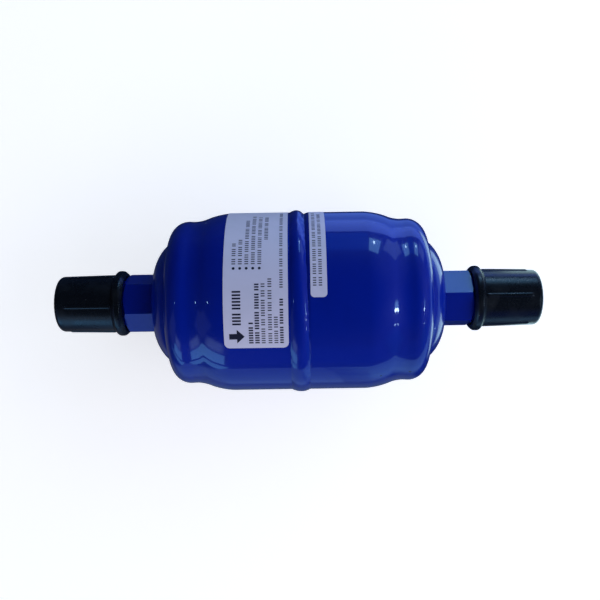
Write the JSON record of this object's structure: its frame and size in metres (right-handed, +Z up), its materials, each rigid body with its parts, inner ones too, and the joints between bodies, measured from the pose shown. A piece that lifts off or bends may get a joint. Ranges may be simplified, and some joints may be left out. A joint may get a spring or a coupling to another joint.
{
  "type": "filter drier",
  "caption": "Liquid line filter drier: a blue steel shell welded at its girth, with a moulded desiccant core inside and a capped flare fitting at each end.",
  "frame": {"origin": "on the drier's axis, in the middle of the girth joint, which is the centre of the whole", "axes": "+X along the axis in the direction of flow, from inlet to outlet; +Z up"},
  "size_m": [0.1804, 0.0684, 0.0684],
  "materials": {
    "blue_paint": "gloss",
    "black_plastic": "satin",
    "label_stock": "satin",
    "braze": "satin",
    "plate_steel": "satin",
    "mesh_steel": "satin",
    "spring_steel": "satin",
    "desiccant": "matte",
    "felt": "matte"
  },
  "bodies": {
    "drier": {"inlet_shell": "blue_paint", "outlet_shell": "blue_paint", "girth_weld": "blue_paint", "inlet_fitting": "blue_paint", "outlet_fitting": "blue_paint", "inlet_braze_ring": "braze", "outlet_braze_ring": "braze", "main_label": "label_stock", "side_label": "label_stock", "desiccant_core": "desiccant", "inlet_pad": "felt", "outlet_pad": "felt", "outlet_screen": "mesh_steel", "outlet_plate": "plate_steel", "spring_plate": "plate_steel", "core_spring": "spring_steel"},
    "inlet_cap": {"inlet_cap": "black_plastic"},
    "outlet_cap": {"outlet_cap": "black_plastic"}
  },
  "joints": [
    {"name": "inlet_cap_pull", "type": "slide", "parent": "drier", "child": "inlet_cap", "axis": [-1, 0, 0], "range_m": [0, 0.06]},
    {"name": "outlet_cap_pull", "type": "slide", "parent": "drier", "child": "outlet_cap", "axis": [1, 0, 0], "range_m": [0, 0.06]}
  ]
}
